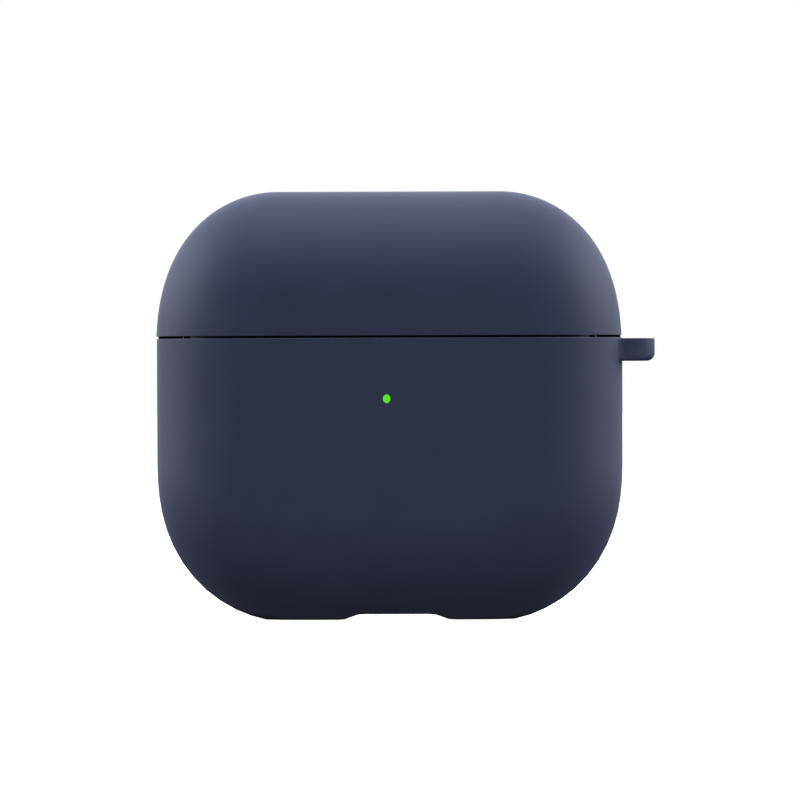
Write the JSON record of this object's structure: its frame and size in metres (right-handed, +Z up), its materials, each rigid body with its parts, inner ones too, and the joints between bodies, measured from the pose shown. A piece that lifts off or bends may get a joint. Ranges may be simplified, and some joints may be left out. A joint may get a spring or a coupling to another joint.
{
  "type": "wireless earbuds case",
  "caption": "Hinged charging case for stem-type wireless earbuds, in a navy silicone cover with a lanyard lug and a green status light.",
  "frame": {"origin": "middle of the footprint of the whole object's box, on the flat base it stands on", "axes": "+Z up, -Y towards the front with the status light, +X towards the lanyard lug"},
  "size_m": [0.0568, 0.0242, 0.0488],
  "materials": {
    "silicone": "soft matte navy silicone with a fine moulded grain",
    "case_plastic": "glossy black moulded plastic",
    "hinge_steel": "satin stainless steel",
    "port_metal": "bright drawn steel",
    "magnet": "nickel plated magnet",
    "contact_gold": "gold plated contact",
    "circuit_board": "green solder mask",
    "flex_circuit": "amber film",
    "black_resin": "matte black moulding resin",
    "battery_pouch": "satin laminated foil",
    "light_guide": "clear plastic lit green",
    "foam_tape": "white foam tape"
  },
  "bodies": {
    "case_body": {"battery_cell": "battery_pouch", "bud_magnet_left": "magnet", "bud_magnet_right": "magnet", "button_flex": "flex_circuit", "case_shell": "case_plastic", "charge_controller": "black_resin", "contact_barrel_left_front": "contact_gold", "contact_barrel_left_rear": "contact_gold", "contact_barrel_right_front": "contact_gold", "contact_barrel_right_rear": "contact_gold", "contact_board_left": "circuit_board", "contact_board_right": "circuit_board", "contact_flex_left": "flex_circuit", "contact_flex_right": "flex_circuit", "cover_body": "silicone", "cradle": "case_plastic", "hinge_body_leaf": "hinge_steel", "hinge_body_screw_left": "hinge_steel", "hinge_body_screw_right": "hinge_steel", "hinge_pin": "hinge_steel", "hinge_snap_spring": "hinge_steel", "latch_magnet_left": "magnet", "latch_magnet_right": "magnet", "lid_sensor": "black_resin", "light_pipe": "light_guide", "main_board": "circuit_board", "port_board": "circuit_board", "port_flex": "flex_circuit", "port_shell": "port_metal", "port_tongue": "black_resin", "port_trim_ring": "port_metal", "shield_can": "port_metal", "status_led": "light_guide", "tact_switch": "port_metal"},
    "lid": {"cover_lid": "silicone", "lid_adhesive_pad": "foam_tape", "lid_shell": "case_plastic", "lid_liner": "case_plastic", "hinge_lid_leaf": "hinge_steel", "hinge_lid_screw_left": "hinge_steel", "hinge_lid_screw_right": "hinge_steel", "lid_magnet_left": "magnet", "lid_magnet_right": "magnet"},
    "button": {"pairing_button": "case_plastic"},
    "pin_left_front": {"contact_pin_left_front": "contact_gold"},
    "pin_left_rear": {"contact_pin_left_rear": "contact_gold"},
    "pin_right_front": {"contact_pin_right_front": "contact_gold"},
    "pin_right_rear": {"contact_pin_right_rear": "contact_gold"}
  },
  "joints": [
    {"name": "lid_hinge", "type": "hinge", "parent": "case_body", "child": "lid", "pos_m": [-0.00185, 0.0112, 0.03225], "axis": [-1, 0, 0], "range_deg": [0, 100]},
    {"name": "pairing_button_press", "type": "slide", "parent": "case_body", "child": "button", "axis": [0, -1, 0], "range_m": [0, 0.00025], "stiffness_N_per_m": 3000, "springref_m": -0.0001},
    {"name": "contact_pin_left_front_press", "type": "slide", "parent": "case_body", "child": "pin_left_front", "axis": [0, 0, -1], "range_m": [0, 0.0007], "stiffness_N_per_m": 300, "springref_m": -0.0005},
    {"name": "contact_pin_left_rear_press", "type": "slide", "parent": "case_body", "child": "pin_left_rear", "axis": [0, 0, -1], "range_m": [0, 0.0007], "stiffness_N_per_m": 300, "springref_m": -0.0005},
    {"name": "contact_pin_right_front_press", "type": "slide", "parent": "case_body", "child": "pin_right_front", "axis": [0, 0, -1], "range_m": [0, 0.0007], "stiffness_N_per_m": 300, "springref_m": -0.0005},
    {"name": "contact_pin_right_rear_press", "type": "slide", "parent": "case_body", "child": "pin_right_rear", "axis": [0, 0, -1], "range_m": [0, 0.0007], "stiffness_N_per_m": 300, "springref_m": -0.0005}
  ]
}
